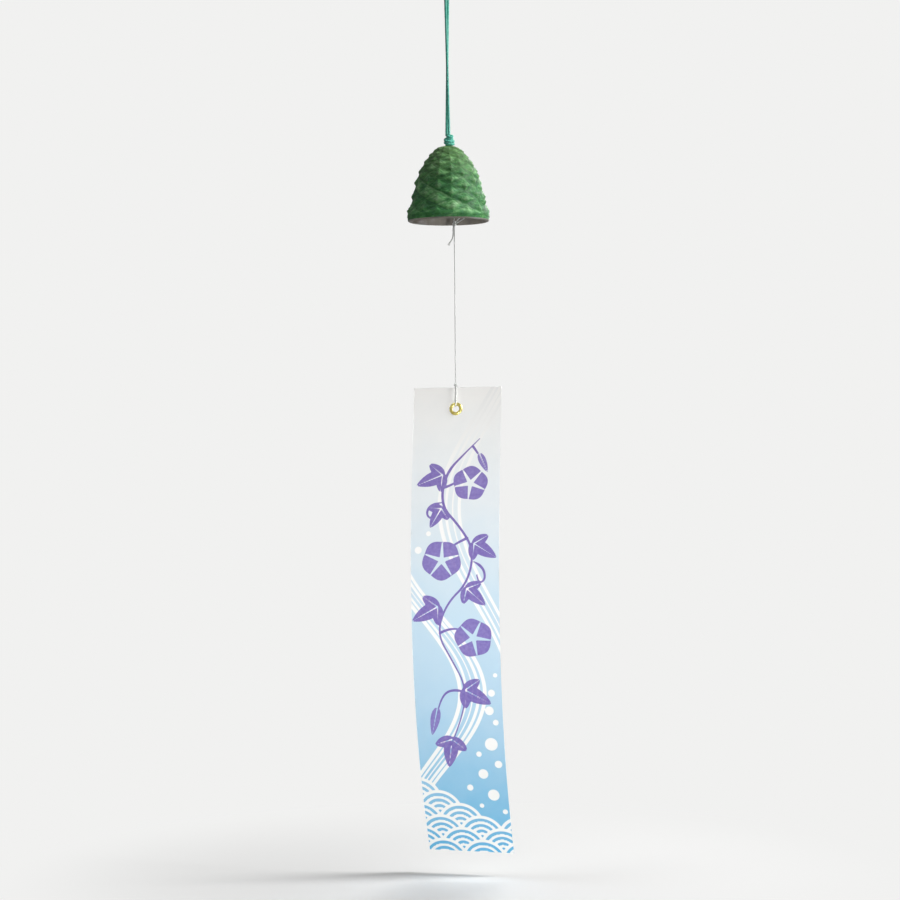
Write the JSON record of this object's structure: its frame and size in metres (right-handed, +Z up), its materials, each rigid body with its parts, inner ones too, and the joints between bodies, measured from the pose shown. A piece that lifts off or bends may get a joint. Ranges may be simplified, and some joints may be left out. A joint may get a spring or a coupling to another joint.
{
  "type": "wind bell",
  "caption": "Small cast-iron wind bell on a doubled cord, with a disc clapper and a long curled paper tag hung on a thread below it",
  "frame": {"origin": "where a hook carries the cord's loop, on the underside of its top bend", "axes": "+Z up along the hanging cord, +X to the right of the tag's printed front, -Y out of its front"},
  "size_m": [0.0688, 0.0624, 0.5978],
  "materials": {
    "cord": "braided synthetic cord, soft sheen",
    "thread": "pale twisted thread",
    "bell": "green lacquer over sand-cast iron, satin",
    "clapper": "dark, matt",
    "paper": "printed paper, matt",
    "eyelet": "bright"
  },
  "bodies": {
    "hanger": {"hanging_loop": "cord"},
    "cord": {"hanging_cord": "cord"},
    "crown": {"crown_knot": "cord", "bore_cord": "cord", "stop_knot": "cord", "cord_ends": "cord", "thread_hitch": "thread"},
    "bell": {"bell_body": "bell"},
    "clapper": {"clapper": "clapper", "clapper_thread": "thread", "clapper_knot": "thread", "tie_knot": "thread", "knot_bow": "thread", "knot_tail": "thread"},
    "thread": {"tag_thread": "thread"},
    "loop": {"loop_knot": "thread", "tag_loop": "thread"},
    "tag": {"paper_tag": "paper", "eyelet": "eyelet", "eyelet_washer": "eyelet"}
  },
  "joints": [
    {"name": "cord_swing", "type": "hinge", "parent": "hanger", "child": "cord", "pos_m": [0, 0, -0.01335], "axis": [0, 1, 0], "range_deg": [-20, 20]},
    {"name": "bell_tilt", "type": "hinge", "parent": "cord", "child": "crown", "pos_m": [0, 0, -0.1113], "axis": [1, 0, 0], "range_deg": [-20, 20]},
    {"name": "bell_spin", "type": "hinge", "parent": "crown", "child": "bell", "pos_m": [0, 0, -0.118], "axis": [0, 0, 1], "continuous": true},
    {"name": "clapper_swing", "type": "hinge", "parent": "crown", "child": "clapper", "pos_m": [0.0038, 0, -0.12527], "axis": [0, 1, 0], "range_deg": [-14, 27]},
    {"name": "thread_sway", "type": "hinge", "parent": "clapper", "child": "thread", "pos_m": [0.0038, 0, -0.16964], "axis": [1, 0, 0], "range_deg": [-40, 40]},
    {"name": "tag_spin", "type": "hinge", "parent": "thread", "child": "loop", "pos_m": [0.0038, 0, -0.27894], "axis": [0, 0, 1], "continuous": true},
    {"name": "tag_swing", "type": "hinge", "parent": "loop", "child": "tag", "pos_m": [0.00386, -0.00297, -0.29331], "axis": [-0.1571, -0.9579, 0.2402], "range_deg": [-12, 12]}
  ]
}
